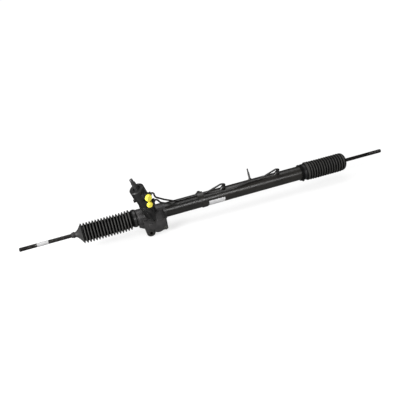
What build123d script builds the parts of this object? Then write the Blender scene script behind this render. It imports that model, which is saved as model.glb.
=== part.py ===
# Power steering rack with a steel cylinder tube, a rotary valve tower, two bellows boots and
# two inner tie rods. Millimetres. +X runs along the rack, away from the valve tower, and +Z is up.
# The origin is on the rack's axis, in the middle of the bare seat where a clamp holds the tube.

import os
from math import acos, cos, pi, radians, sin, tan

from build123d import *

os.makedirs("parts", exist_ok=True)

# ---- driving dimensions ------------------------------------------------------------------

# stations along the rack's axis
housing_left = -606.0
housing_right = -486.0
crossing_x = -533.9
tube_left = -508.0
tube_right = 62.0
inner_seal_x = -282.0
port_left_x = -266.0
port_right_x = -52.0
outer_seal_x = -22.0

# gear housing
barrel_radius = 29.2
boot_seat_radius = 28.5
boot_seat_length = 20.0
nose_radius = 22.5
nose_length = 16.0
rack_bore_radius = 14.5

# tube
tube_radius = 26.5
tube_wall = 3.5
bore_radius = tube_radius - tube_wall

# rack, as it stands at rest
rack_radius = 13.0
rack_left = -718.0
rack_right = 114.0
piston_x = -172.0
piston_length = 14.0

# pinion: a spur gear on a leaning axis, so the rack's teeth lean by the same angle
lean_side = 15.6
lean_front = 10.0
centre_distance = 19.5
tooth_module = 2.3
tooth_count = 8
pressure_angle = 25.0
profile_shift = 0.8
pinion_tip_radius = 12.0
pinion_root_radius = 7.125
pinion_face = 30.0
backlash = 0.15
rack_tip_height = 11.8
rack_root_height = 6.6

# valve tower, measured up the pinion's axis from its centre
boss_bottom = -58.0
flange_s = 62.0
head_s = 106.5
face_s = 146.0
shaft_tip_s = 188.5
neck_radius = 23.0
head_radius = 26.0
valve_bore_radius = 17.0
journal_radius = 8.5
shaft_radius = 8.0

# inner tie rods, measured outwards from the ball's centre
ball_left_x = -742.0
ball_right_x = 138.0
ball_radius = 14.0
seat_radius = 16.4
socket_radius = 20.5
rod_length = 258.0
rod_radius = 6.75
rod_neck_radius = 7.5
thread_radius = 7.0
thread_length = 54.0
groove_station = 72.0

# running clearance between parts that slide or turn in each other
running = 0.06

# boots
left_rib_crest = 36.4
left_rib_valley = 27.0
right_rib_crest = 35.0
right_rib_valley = 29.6
left_rib_count = 16
right_rib_count = 13
boot_wall = 1.6

# steel pipes
pipe_radius = 3.2
pipe_lie = 30.0
port_angle = 10.0
port_lean = 41.0


# ---- frames and shared shapes ------------------------------------------------------------

side = radians(lean_side)
front = radians(lean_front)
tower_up = Vector(-sin(side), -cos(side) * sin(front), cos(side) * cos(front))
tower_right = Vector(cos(side), -sin(side) * sin(front), sin(side) * cos(front))
tower_back = Vector(0, cos(front), sin(front))
crossing = Vector(crossing_x, 0, 0)
pinion_centre = crossing - tower_back * centre_distance


def across(x):
    """A plane square to the rack's axis at x, with world Y and Z in it."""
    return Plane(origin=(x, 0, 0), x_dir=(0, 1, 0), z_dir=(1, 0, 0))


def up_tower(s):
    """A plane square to the pinion's axis, s above the pinion's centre."""
    return Plane(origin=pinion_centre + tower_up * s, x_dir=tower_right, z_dir=tower_up)


def to_back(distance):
    """A plane square to the yoke's axis, that far behind the rack's axis."""
    return Plane(origin=crossing + tower_back * distance, x_dir=tower_right, z_dir=tower_back)


def in_tower(right, forward, s):
    """A point in the tower's own directions, from the pinion's centre."""
    return pinion_centre + tower_right * right - tower_back * forward + tower_up * s


def from_tower(angle, reach, s):
    """A plane that looks out of the tower, angle degrees from straight forward to the right."""
    turn = radians(angle)
    outwards = tower_right * sin(turn) - tower_back * cos(turn)
    return Plane(origin=pinion_centre + tower_up * s + outwards * reach, x_dir=tower_up, z_dir=outwards)


def on_tube(x, reach, angle):
    """A point at reach from the rack's axis, angle degrees from the top towards the front."""
    return Vector(x, -reach * sin(radians(angle)), reach * cos(radians(angle)))


def port_plane(x, height):
    """A plane across a cylinder port's leaning axis, height above the tube's skin."""
    foot = on_tube(x, tube_radius, port_angle)
    radial = on_tube(0, 1, port_angle)
    lean = radians(port_lean)
    direction = radial * cos(lean) + Vector(1, 0, 0) * sin(lean)
    return Plane(origin=foot + direction * height, x_dir=radial.cross(Vector(1, 0, 0)), z_dir=direction)


def ring(plane, outer, inner, length):
    """A plain ring or sleeve that stands on the plane."""
    with BuildPart() as made:
        with BuildSketch(plane):
            Circle(outer)
            Circle(inner, mode=Mode.SUBTRACT)
        extrude(amount=length)
    return made.part


def hex_ring(plane, across_flats, inner, length):
    """A hexagon nut that stands on the plane."""
    with BuildPart() as made:
        with BuildSketch(plane):
            RegularPolygon(across_flats / 2, 6, major_radius=False)
            Circle(inner, mode=Mode.SUBTRACT)
        extrude(amount=length)
    return made.part


def turned(points):
    """A solid turned about the rack's axis from (x, radius) points."""
    with BuildPart() as made:
        with BuildSketch(Plane.XZ):
            with BuildLine():
                Polyline(*points, close=True)
            make_face()
        revolve(axis=Axis.X)
    return made.part


def bent_pipe(points, radii, radius):
    """A round pipe along straight runs joined by tangent arcs."""
    with BuildPart() as made:
        with BuildLine() as route:
            FilletPolyline(*points, radius=radii)
        with BuildSketch(Plane(origin=points[0], z_dir=route.wires()[0] % 0)):
            Circle(radius)
        sweep(path=route.wires()[0])
    return made.part


# ---- gear housing ------------------------------------------------------------------------
# An iron casting: the barrel round the rack, the pinion's boss across its front, the yoke's
# boss at the back, and below them a foot and an eye that bolt to the car.

pinion_boss_radius = 23.0
flange_thickness = 10.0
flange_radius = 24.5
ear_reach = 31.0
ear_radius = 8.0
ear_angle = 98.0
ear_hole_radius = 3.4
ear_thread_radius = 3.0
pinion_bore_radius = 13.2
lower_bearing_s = -44.0
lower_bearing_radius = 15.0
upper_bearing_s = 24.0
bearing_height = 12.0
cap_bore_radius = 17.0
yoke_boss_radius = 24.0
yoke_boss_reach = 58.0
yoke_radius = 15.5
plug_radius = 17.5
plug_seat = 42.0
foot_left = -543.0
foot_right = -492.0
foot_front = -47.0
foot_back = 8.0
foot_top = -7.0
foot_bottom = -50.0
foot_edge = 7.0
column_x = -514.5
column_y = -26.0
column_radius = 23.5
column_height = 31.0
column_taper = 12.0
foot_boss_x = -545.0
foot_boss_z = -26.0
foot_boss_radius = 13.0
eye_x = -555.5
eye_z = -50.0
eye_radius = 16.0
eye_front = -42.0
eye_back = 8.0
eye_bore_radius = 11.0
web_half_width = 18.0
foot_screw_x = -501.5
foot_screw_z = -43.0
foot_screw_radius = 4.0
foot_screw_depth = 14.0
front_web_right = -4.0
front_web_thickness = 5.0
# (forward, up the tower) corners of the web under the front ear
front_web_points = ((18, -8), (31, -8), (30.5, 12), (29, 52), (18, 52))

# (x, z) corners of the gusset between the barrel and the eye
gusset_points = ((-590, -12), (-590, -30.5), (-581, -36), (-570, -41.5), (-555, -42), (-555, -12))
gusset_front = -22.0
gusset_thickness = 9.0

front_web_plane = Plane(origin=in_tower(front_web_right, 0, 0), x_dir=-tower_back, z_dir=-tower_right)
eye_plane = Plane(origin=(eye_x, eye_back, eye_z), x_dir=(1, 0, 0), z_dir=(0, -1, 0))
foot_boss_plane = Plane(origin=(foot_boss_x, foot_back, foot_boss_z), x_dir=(1, 0, 0), z_dir=(0, -1, 0))
foot_screw_plane = Plane(origin=(foot_screw_x, foot_front, foot_screw_z), x_dir=(1, 0, 0), z_dir=(0, -1, 0))

with BuildPart() as gear_housing:
    with BuildSketch(across(housing_left - nose_length)):
        Circle(nose_radius)
    extrude(amount=nose_length)
    with BuildSketch(across(housing_left)):
        Circle(boot_seat_radius)
    extrude(amount=boot_seat_length)
    with BuildSketch(across(housing_left + boot_seat_length)):
        Circle(barrel_radius)
    extrude(amount=housing_right - housing_left - boot_seat_length)
    with BuildSketch(Plane.XY.offset(foot_bottom)):
        with Locations(((foot_left + foot_right) / 2, (foot_front + foot_back) / 2)):
            RectangleRounded(foot_right - foot_left, foot_back - foot_front, foot_edge)
    extrude(amount=foot_top - foot_bottom)
    with BuildSketch(Plane(origin=(column_x, column_y, foot_top))):
        Circle(column_radius)
    extrude(amount=column_height, taper=column_taper)
    with BuildSketch(foot_boss_plane):
        Circle(foot_boss_radius)
    extrude(amount=foot_back - foot_front)
    with BuildSketch(eye_plane):
        Circle(eye_radius)
        with BuildLine():
            Polyline((-eye_radius, 0), (eye_radius, 0), (web_half_width, -eye_z), (-web_half_width, -eye_z),
                     close=True)
        make_face()
    extrude(amount=eye_back - eye_front)
    with BuildSketch(Plane.XZ.offset(-gusset_front - gusset_thickness)):
        with BuildLine():
            Polyline(*gusset_points, close=True)
        make_face()
    extrude(amount=gusset_thickness)
    with BuildSketch(up_tower(boss_bottom)):
        Circle(pinion_boss_radius)
    extrude(amount=flange_s - boss_bottom)
    with BuildSketch(up_tower(flange_s - flange_thickness)):
        Circle(flange_radius)
        with PolarLocations(ear_reach, 2, start_angle=ear_angle):
            Circle(ear_radius)
        Rectangle(2 * ear_reach, 2 * ear_radius, rotation=ear_angle)
    extrude(amount=flange_thickness)
    with BuildSketch(front_web_plane):
        with BuildLine():
            Polyline(*front_web_points, close=True)
        make_face()
    extrude(amount=front_web_thickness)
    with BuildSketch(to_back(0)):
        Circle(yoke_boss_radius)
    extrude(amount=yoke_boss_reach)
    # bores for the rack, the tube, the pinion and its bearings, the yoke, the bush and the screws
    with BuildSketch(across(housing_left - nose_length)):
        Circle(rack_bore_radius)
    extrude(amount=housing_right - housing_left + nose_length, mode=Mode.SUBTRACT)
    with BuildSketch(across(tube_left)):
        Circle(tube_radius)
    extrude(amount=housing_right - tube_left, mode=Mode.SUBTRACT)
    with BuildSketch(up_tower(boss_bottom)):
        Circle(pinion_bore_radius)
    extrude(amount=flange_s - boss_bottom, mode=Mode.SUBTRACT)
    with BuildSketch(up_tower(boss_bottom)):
        Circle(cap_bore_radius)
    extrude(amount=lower_bearing_s - boss_bottom, mode=Mode.SUBTRACT)
    with BuildSketch(up_tower(lower_bearing_s)):
        Circle(lower_bearing_radius)
    extrude(amount=bearing_height, mode=Mode.SUBTRACT)
    with BuildSketch(up_tower(upper_bearing_s)):
        Circle(valve_bore_radius)
    extrude(amount=flange_s - upper_bearing_s, mode=Mode.SUBTRACT)
    with BuildSketch(to_back(0)):
        Circle(yoke_radius)
    extrude(amount=yoke_boss_reach, mode=Mode.SUBTRACT)
    with BuildSketch(to_back(plug_seat)):
        Circle(plug_radius)
    extrude(amount=yoke_boss_reach - plug_seat, mode=Mode.SUBTRACT)
    with BuildSketch(eye_plane):
        Circle(eye_bore_radius)
    extrude(amount=eye_back - eye_front, mode=Mode.SUBTRACT)
    with BuildSketch(up_tower(flange_s - flange_thickness)):
        with PolarLocations(ear_reach, 2, start_angle=ear_angle):
            Circle(ear_thread_radius)
    extrude(amount=flange_thickness, mode=Mode.SUBTRACT)
    with BuildSketch(foot_screw_plane):
        Circle(foot_screw_radius)
    extrude(amount=-foot_screw_depth, mode=Mode.SUBTRACT)
gear_housing.part.label = "gear_housing"
export_step(gear_housing.part, "parts/gear_housing.step")

# The cover over the lower bearing, pressed into the bottom of the pinion's boss, with a hexagon
# recess for the key that turns it in.
cover_thickness = 5.0
cover_rim = 2.0
cover_hex_radius = 7.0
cover_hex_depth = 3.0
with BuildPart() as bottom_cover:
    with BuildSketch(up_tower(boss_bottom - cover_rim)):
        Circle(cap_bore_radius)
    extrude(amount=cover_rim + cover_thickness)
    with BuildSketch(up_tower(boss_bottom - cover_rim)):
        RegularPolygon(cover_hex_radius, 6)
    extrude(amount=cover_hex_depth, mode=Mode.SUBTRACT)
bottom_cover.part.label = "bottom_cover"
export_step(bottom_cover.part, "parts/bottom_cover.step")

# The bolt in the foot's front face: a flanged head on a plain shank.
screw_head_radius = 5.2
screw_head_height = 5.0
screw_flange_radius = 6.8
screw_flange_height = 1.5
with BuildPart() as foot_screw:
    with BuildSketch(foot_screw_plane.offset(-foot_screw_depth + 1)):
        Circle(foot_screw_radius)
    extrude(amount=foot_screw_depth - 1)
    with BuildSketch(foot_screw_plane):
        Circle(screw_flange_radius)
    extrude(amount=screw_flange_height)
    with BuildSketch(foot_screw_plane.offset(screw_flange_height)):
        RegularPolygon(screw_head_radius, 6)
    extrude(amount=screw_head_height)
foot_screw.part.label = "foot_screw"
export_step(foot_screw.part, "parts/foot_screw.step")

# The rubber bush in the eye and the steel sleeve that the car's bolt passes through.
bush_flange_radius = 12.4
bush_flange = 3.0
sleeve_outer_radius = 8.0
sleeve_bore_radius = 6.25
sleeve_proud = 5.0
with BuildPart() as mount_bush:
    with BuildSketch(eye_plane):
        Circle(eye_bore_radius)
    extrude(amount=eye_back - eye_front)
    with BuildSketch(eye_plane.offset(eye_back - eye_front)):
        Circle(bush_flange_radius)
    extrude(amount=bush_flange)
    with BuildSketch(eye_plane.offset(-bush_flange)):
        Circle(bush_flange_radius)
    extrude(amount=bush_flange)
    with BuildSketch(eye_plane.offset(-bush_flange)):
        Circle(sleeve_outer_radius)
    extrude(amount=eye_back - eye_front + 2 * bush_flange, mode=Mode.SUBTRACT)
mount_bush.part.label = "mount_bush"
export_step(mount_bush.part, "parts/mount_bush.step")

sleeve_length = eye_back - eye_front + 2 * sleeve_proud
mount_sleeve_part = ring(eye_plane.offset(-sleeve_proud), sleeve_outer_radius, sleeve_bore_radius,
                         sleeve_length)
mount_sleeve_part.label = "mount_sleeve"
export_step(mount_sleeve_part, "parts/mount_sleeve.step")

# ---- valve housing -----------------------------------------------------------------------
# An aluminium tower bolted on the gear housing's flange: a neck, a wider head with the input
# seal in its top, two oil ports in front and two pipe outlets on its right.

cover_flange = 8.0
seal_pocket_s = 126.0
seal_radius = 12.5
shoulder_s = 124.0
port_bore_radius = 7.0
upper_port_angle = 29.0
upper_port_s = 118.5
upper_port_radius = 12.2
lower_port_angle = 19.0
lower_port_s = 93.0
lower_port_radius = 10.0
port_reach = 44.0
outlet_reach = 27.0
outlet_radius = 9.5
outlet_left_s = 97.5
outlet_left_angle = 93.0
outlet_right_s = 72.0
outlet_right_angle = 76.0
outlets = ((outlet_left_angle, outlet_left_s), (outlet_right_angle, outlet_right_s))
pipe_hole_radius = 1.9
top_edge = 2.5
lug_angle = -100.0
lug_s = 98.0
lug_radius = 6.0
lug_reach = 31.0

with BuildPart() as valve_housing:
    with BuildSketch(up_tower(flange_s)):
        Circle(flange_radius)
        with PolarLocations(ear_reach, 2, start_angle=ear_angle):
            Circle(ear_radius)
        Rectangle(2 * ear_reach, 2 * ear_radius, rotation=ear_angle)
    extrude(amount=cover_flange)
    with BuildSketch(up_tower(flange_s)):
        Circle(neck_radius)
    extrude(amount=head_s - flange_s)
    with BuildSketch(up_tower(head_s)):
        Circle(head_radius)
    extrude(amount=face_s - head_s)
    top_rim = valve_housing.edges().filter_by(GeomType.CIRCLE).sort_by(Axis.Z)[-1]
    chamfer(top_rim, top_edge)
    for angle, s, radius in ((upper_port_angle, upper_port_s, upper_port_radius),
                             (lower_port_angle, lower_port_s, lower_port_radius)):
        with BuildSketch(from_tower(angle, 0, s)):
            Circle(radius)
        extrude(amount=port_reach)
    for angle, s in outlets:
        with BuildSketch(from_tower(angle, 0, s)):
            Circle(outlet_radius)
        extrude(amount=outlet_reach)
    with BuildSketch(from_tower(lug_angle, 0, lug_s)):
        Circle(lug_radius)
    extrude(amount=lug_reach)
    with BuildSketch(up_tower(flange_s)):
        Circle(valve_bore_radius)
    extrude(amount=shoulder_s - flange_s, mode=Mode.SUBTRACT)
    with BuildSketch(up_tower(shoulder_s)):
        Circle(seal_radius)
    extrude(amount=face_s - shoulder_s, mode=Mode.SUBTRACT)
    with BuildSketch(from_tower(upper_port_angle, 0, upper_port_s)):
        Circle(port_bore_radius)
    extrude(amount=port_reach, mode=Mode.SUBTRACT)
    with BuildSketch(from_tower(lower_port_angle, 0, lower_port_s)):
        Circle(port_bore_radius)
    extrude(amount=port_reach, mode=Mode.SUBTRACT)
    for angle, s in outlets:
        with BuildSketch(from_tower(angle, 0, s)):
            Circle(pipe_hole_radius)
        extrude(amount=outlet_reach, mode=Mode.SUBTRACT)
    with BuildSketch(up_tower(flange_s)):
        with PolarLocations(ear_reach, 2, start_angle=ear_angle):
            Circle(ear_hole_radius)
    extrude(amount=cover_flange, mode=Mode.SUBTRACT)
valve_housing.part.label = "valve_housing"
export_step(valve_housing.part, "parts/valve_housing.step")

# Two screws hold the valve housing down on the gear housing's ears.
valve_screw_head = 5.5
valve_screw_head_height = 6.0
with BuildPart() as valve_screws:
    with BuildSketch(up_tower(flange_s - flange_thickness + 1)):
        with PolarLocations(ear_reach, 2, start_angle=ear_angle):
            Circle(ear_thread_radius)
    extrude(amount=flange_thickness - 1 + cover_flange)
    with BuildSketch(up_tower(flange_s + cover_flange)):
        with PolarLocations(ear_reach, 2, start_angle=ear_angle):
            Circle(valve_screw_head)
    extrude(amount=valve_screw_head_height)
valve_screws.part.label = "valve_screws"
export_step(valve_screws.part, "parts/valve_screws.step")

# Plastic transit caps stop the two oil ports: a ribless dome over a short spigot.
spigot_length = 12.0
cap_flange = 5.0
cap_dome = 4.5
for cap_name, angle, s, radius in (("port_cap_upper", upper_port_angle, upper_port_s, upper_port_radius),
                                   ("port_cap_lower", lower_port_angle, lower_port_s, lower_port_radius)):
    with BuildPart() as port_cap:
        with BuildSketch(from_tower(angle, port_reach - spigot_length, s)):
            Circle(port_bore_radius)
        extrude(amount=spigot_length)
        with BuildSketch(from_tower(angle, port_reach, s)):
            Circle(radius)
        extrude(amount=cap_flange + cap_dome)
        crown = port_cap.faces().sort_by(Axis.Y)[0].edges()
        fillet(crown, cap_dome)
    port_cap.part.label = cap_name
    export_step(port_cap.part, f"parts/{cap_name}.step")

# ---- input shaft bearings and seal -------------------------------------------------------

input_bearing_s = 112.0
input_bearing_part = ring(up_tower(input_bearing_s), valve_bore_radius, journal_radius + running,
                          shoulder_s - input_bearing_s)
input_bearing_part.label = "input_bearing"
export_step(input_bearing_part, "parts/input_bearing.step")

seal_height = 8.0
input_seal_part = ring(up_tower(seal_pocket_s), seal_radius, journal_radius + running, seal_height)
input_seal_part.label = "input_seal"
export_step(input_seal_part, "parts/input_seal.step")

# ---- pinion ------------------------------------------------------------------------------
# One forging: an eight-tooth gear between two journals, with a hollow top for the torsion bar.

reference_radius = tooth_module * tooth_count / 2
base_radius = reference_radius * cos(radians(pressure_angle))
tooth_thickness = pi * tooth_module / 2 + 2 * profile_shift * tan(radians(pressure_angle))
flank_points = 6
lower_journal_radius = 7.0
pinion_bottom = -50.0
upper_journal_radius = 11.0
pinion_collar_s = 54.0
pinion_collar_radius = 12.0
pinion_top = 64.0
pilot_bore_radius = 6.0
pilot_bore_s = 42.0
bar_radius = 2.0
bar_bottom = 22.0
mesh_angle = 90.0


def involute(angle):
    """The involute function of a pressure angle in radians."""
    return tan(angle) - angle


def flank(hand, tooth_angle):
    """Points up one flank of a tooth, from the base circle to the tip."""
    points = []
    for i in range(flank_points):
        radius = base_radius + (pinion_tip_radius - base_radius) * i / (flank_points - 1)
        roll = acos(min(1.0, base_radius / radius))
        half = tooth_thickness / (2 * reference_radius) + involute(radians(pressure_angle)) - involute(roll)
        around = radians(tooth_angle) + hand * half
        points.append((radius * cos(around), radius * sin(around)))
    return points


with BuildPart() as pinion:
    with BuildSketch(up_tower(-pinion_face / 2)):
        Circle(pinion_root_radius)
        for k in range(tooth_count):
            tooth_angle = mesh_angle + (k + 0.5) * 360 / tooth_count
            left_flank = flank(1, tooth_angle)
            right_flank = flank(-1, tooth_angle)
            with BuildLine():
                Polyline((0, 0), left_flank[0])
                Spline(*left_flank)
                Polyline(left_flank[-1], right_flank[-1])
                Spline(*right_flank)
                Polyline(right_flank[0], (0, 0))
            make_face()
    extrude(amount=pinion_face)
    with BuildSketch(up_tower(pinion_bottom)):
        Circle(lower_journal_radius)
    extrude(amount=-pinion_bottom)
    with BuildSketch(up_tower(pinion_face / 2)):
        Circle(upper_journal_radius)
    extrude(amount=pinion_top - pinion_face / 2)
    with BuildSketch(up_tower(pinion_collar_s)):
        Circle(pinion_collar_radius)
    extrude(amount=pinion_top - pinion_collar_s)
    with BuildSketch(up_tower(pilot_bore_s)):
        Circle(pilot_bore_radius)
    extrude(amount=pinion_top - pilot_bore_s, mode=Mode.SUBTRACT)
    with BuildSketch(up_tower(bar_bottom)):
        Circle(bar_radius)
    extrude(amount=pilot_bore_s - bar_bottom, mode=Mode.SUBTRACT)
pinion.part.label = "pinion"
export_step(pinion.part, "parts/pinion.step")

pinion_bearing_upper_part = ring(up_tower(upper_bearing_s), valve_bore_radius,
                                 upper_journal_radius + running, bearing_height)
pinion_bearing_upper_part.label = "pinion_bearing_upper"
export_step(pinion_bearing_upper_part, "parts/pinion_bearing_upper.step")

pinion_bearing_lower_part = ring(up_tower(lower_bearing_s), lower_bearing_radius,
                                 lower_journal_radius + running, bearing_height)
pinion_bearing_lower_part.label = "pinion_bearing_lower"
export_step(pinion_bearing_lower_part, "parts/pinion_bearing_lower.step")

# The pinion's nut turns on the journal's end, under the lower bearing.
pinion_nut_gap = 0.5
pinion_nut_height = 5.0
pinion_nut_flats = 22.0
pinion_nut_s = lower_bearing_s - pinion_nut_gap - pinion_nut_height
pinion_nut_part = hex_ring(up_tower(pinion_nut_s), pinion_nut_flats, lower_journal_radius,
                           pinion_nut_height)
pinion_nut_part.label = "pinion_nut"
export_step(pinion_nut_part, "parts/pinion_nut.step")

# ---- rotary valve ------------------------------------------------------------------------
# The sleeve is pinned to the pinion, the input shaft's rotor turns a few degrees inside it, and
# the torsion bar between them brings it back.

sleeve_top = 106.0
sleeve_outer = 16.4
rotor_radius = 10.0
rotor_bottom = 66.0
valve_pin_radius = 1.5
valve_pin_s = 59.0
valve_pin_start = 8.0

with BuildPart() as valve_sleeve:
    with BuildSketch(up_tower(pinion_collar_s)):
        Circle(sleeve_outer)
    extrude(amount=sleeve_top - pinion_collar_s)
    with BuildSketch(up_tower(pinion_collar_s)):
        Circle(pinion_collar_radius)
    extrude(amount=pinion_top - pinion_collar_s, mode=Mode.SUBTRACT)
    with BuildSketch(up_tower(pinion_top)):
        Circle(rotor_radius + running)
    extrude(amount=sleeve_top - pinion_top, mode=Mode.SUBTRACT)
    with BuildSketch(from_tower(mesh_angle, valve_pin_start, valve_pin_s)):
        Circle(valve_pin_radius)
    extrude(amount=sleeve_outer - valve_pin_start, mode=Mode.SUBTRACT)
valve_sleeve.part.label = "valve_sleeve"
export_step(valve_sleeve.part, "parts/valve_sleeve.step")

valve_pin_gap = 0.3
with BuildPart() as valve_pin:
    with BuildSketch(from_tower(mesh_angle, pinion_collar_radius, valve_pin_s)):
        Circle(valve_pin_radius)
    extrude(amount=sleeve_outer - pinion_collar_radius - valve_pin_gap)
valve_pin.part.label = "valve_pin"
export_step(valve_pin.part, "parts/valve_pin.step")

seal_ring_radius = valve_bore_radius - running
seal_ring_height = 2.0
seal_ring_stations = (63.0, 74.0, 95.0, 103.0)
with BuildPart() as sleeve_rings:
    for s in seal_ring_stations:
        with BuildSketch(up_tower(s)):
            Circle(seal_ring_radius)
            Circle(sleeve_outer, mode=Mode.SUBTRACT)
        extrude(amount=seal_ring_height)
sleeve_rings.part.label = "sleeve_rings"
export_step(sleeve_rings.part, "parts/sleeve_rings.step")

bar_top = 168.0
bar_clearance = 0.4
with BuildPart() as torsion_bar:
    with BuildSketch(up_tower(bar_bottom)):
        Circle(bar_radius)
    extrude(amount=bar_top - bar_bottom)
torsion_bar.part.label = "torsion_bar"
export_step(torsion_bar.part, "parts/torsion_bar.step")

# The input shaft: pilot, rotor, journal, the plain stub that the column's joint clamps, and a
# thinner tip with a flat that shows which way round the joint goes on.
pilot_bottom = 44.0
stub_s = 147.0
tip_s = 172.0
tip_radius = 6.6
tip_chamfer = 1.5
flat_reach = 5.0
with BuildPart() as input_shaft:
    for bottom, top, radius in ((pilot_bottom, rotor_bottom, pilot_bore_radius - running),
                                (rotor_bottom, sleeve_top, rotor_radius),
                                (sleeve_top, stub_s, journal_radius),
                                (stub_s, tip_s, shaft_radius),
                                (tip_s, shaft_tip_s, tip_radius)):
        with BuildSketch(up_tower(bottom)):
            Circle(radius)
        extrude(amount=top - bottom)
    tip_rim = input_shaft.edges().filter_by(GeomType.CIRCLE).sort_by(Axis.Z)[-1]
    chamfer(tip_rim, tip_chamfer)
    with BuildSketch(up_tower(tip_s)):
        with Locations((flat_reach + shaft_radius, 0)):
            Rectangle(2 * shaft_radius, 2 * shaft_radius)
    extrude(amount=shaft_tip_s - tip_s, mode=Mode.SUBTRACT)
    with BuildSketch(up_tower(pilot_bottom)):
        Circle(bar_radius + bar_clearance)
    extrude(amount=bar_top + 1 - pilot_bottom, mode=Mode.SUBTRACT)
input_shaft.part.label = "input_shaft"
export_step(input_shaft.part, "parts/input_shaft.step")

# ---- rack bar ----------------------------------------------------------------------------
# A round bar with leaning teeth cut in the side that faces the pinion.

first_groove = -17
last_groove = 8
groove_pitch = pi * tooth_module
flat_overrun = 3.0
groove_reach = 55.0
reference_y = reference_radius + profile_shift
tip_y = centre_distance - rack_tip_height
root_y = centre_distance - rack_root_height
groove_opening = 1.0
groove_open_y = tip_y - groove_opening
half_groove = (groove_pitch / 2 + backlash) / 2
flank_slope = tan(radians(pressure_angle))
piston_land_radius = 11.5
stud_radius = 7.0
stud_length = 20.0


def groove_half_width(y):
    """Half the width of a tooth groove at distance y behind the pinion's axis."""
    return half_groove + (reference_y - y) * flank_slope


with BuildPart() as rack_bar:
    with BuildSketch(across(rack_left)):
        Circle(rack_radius)
    extrude(amount=rack_right - rack_left)
    with BuildSketch(up_tower(-groove_reach)):
        for k in range(first_groove, last_groove + 1):
            middle = (k + 0.5) * groove_pitch
            with BuildLine():
                Polyline((middle - groove_half_width(groove_open_y), groove_open_y),
                         (middle + groove_half_width(groove_open_y), groove_open_y),
                         (middle + groove_half_width(root_y), root_y),
                         (middle - groove_half_width(root_y), root_y),
                         close=True)
            make_face()
    extrude(amount=2 * groove_reach, mode=Mode.SUBTRACT)
    with BuildSketch(up_tower(-groove_reach)):
        with BuildLine():
            Polyline((first_groove * groove_pitch - flat_overrun, -centre_distance),
                     ((last_groove + 1) * groove_pitch + flat_overrun, -centre_distance),
                     ((last_groove + 1) * groove_pitch + flat_overrun, tip_y),
                     (first_groove * groove_pitch - flat_overrun, tip_y),
                     close=True)
        make_face()
    extrude(amount=2 * groove_reach, mode=Mode.SUBTRACT)
    with BuildSketch(across(piston_x - piston_length / 2)):
        Circle(rack_radius)
        Circle(piston_land_radius, mode=Mode.SUBTRACT)
    extrude(amount=piston_length, mode=Mode.SUBTRACT)
    for x in (rack_left, rack_right - stud_length):
        with BuildSketch(across(x)):
            Circle(stud_radius)
        extrude(amount=stud_length, mode=Mode.SUBTRACT)
rack_bar.part.label = "rack_bar"
export_step(rack_bar.part, "parts/rack_bar.step")

# The piston sits in the rack's land and carries one plastic ring against the tube's bore.
piston_radius = 22.4
ring_groove = 3.0
with BuildPart() as piston:
    with BuildSketch(across(piston_x - piston_length / 2)):
        Circle(piston_radius)
        Circle(piston_land_radius, mode=Mode.SUBTRACT)
    extrude(amount=piston_length)
    with BuildSketch(across(piston_x - ring_groove / 2)):
        Circle(piston_radius)
        Circle(piston_radius - ring_groove, mode=Mode.SUBTRACT)
    extrude(amount=ring_groove, mode=Mode.SUBTRACT)
piston.part.label = "piston"
export_step(piston.part, "parts/piston.step")

piston_ring_part = ring(across(piston_x - ring_groove / 2), bore_radius - running,
                        piston_radius - ring_groove, ring_groove)
piston_ring_part.label = "piston_ring"
export_step(piston_ring_part, "parts/piston_ring.step")

# ---- cylinder tube -----------------------------------------------------------------------

with BuildPart() as rack_tube:
    with BuildSketch(across(tube_left)):
        Circle(tube_radius)
        Circle(bore_radius, mode=Mode.SUBTRACT)
    extrude(amount=tube_right - tube_left)
    for x in (port_left_x, port_right_x):
        with BuildSketch(port_plane(x, -2 * tube_wall)):
            Circle(pipe_hole_radius)
        extrude(amount=4 * tube_wall, mode=Mode.SUBTRACT)
rack_tube.part.label = "rack_tube"
export_step(rack_tube.part, "parts/rack_tube.step")

# The ring pressed on the tube's end brings it up to the boot cuff's size.
seat_ring_length = 20.0
seat_ring_radius = 27.6
boot_seat_ring_part = ring(across(tube_right - seat_ring_length), seat_ring_radius, tube_radius,
                           seat_ring_length)
boot_seat_ring_part.label = "boot_seat_ring"
export_step(boot_seat_ring_part, "parts/boot_seat_ring.step")

# Bulkhead and seals that close the cylinder round the rack, and the bush at the far end.
bulkhead_length = 6.0
rack_seal_length = 8.0
inner_bulkhead_part = ring(across(inner_seal_x - bulkhead_length), bore_radius, rack_bore_radius - 1,
                           bulkhead_length)
inner_bulkhead_part.label = "inner_bulkhead"
export_step(inner_bulkhead_part, "parts/inner_bulkhead.step")

inner_seal_part = ring(across(inner_seal_x), bore_radius, rack_radius + running, rack_seal_length)
inner_seal_part.label = "rack_seal_inner"
export_step(inner_seal_part, "parts/rack_seal_inner.step")

outer_seal_part = ring(across(outer_seal_x), bore_radius, rack_radius + running, rack_seal_length)
outer_seal_part.label = "rack_seal_outer"
export_step(outer_seal_part, "parts/rack_seal_outer.step")

end_bush_left = outer_seal_x + rack_seal_length
end_bushing_part = ring(across(end_bush_left), bore_radius, rack_radius + running,
                        tube_right - end_bush_left)
end_bushing_part.label = "end_bushing"
export_step(end_bushing_part, "parts/end_bushing.step")

# ---- cylinder ports, pipes and their nuts ------------------------------------------------

port_boss_radius = 8.0
port_boss_height = 6.0
port_boss_root = -8.0
pipe_nut_flats = 14.0
pipe_nut_height = 8.0

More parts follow.
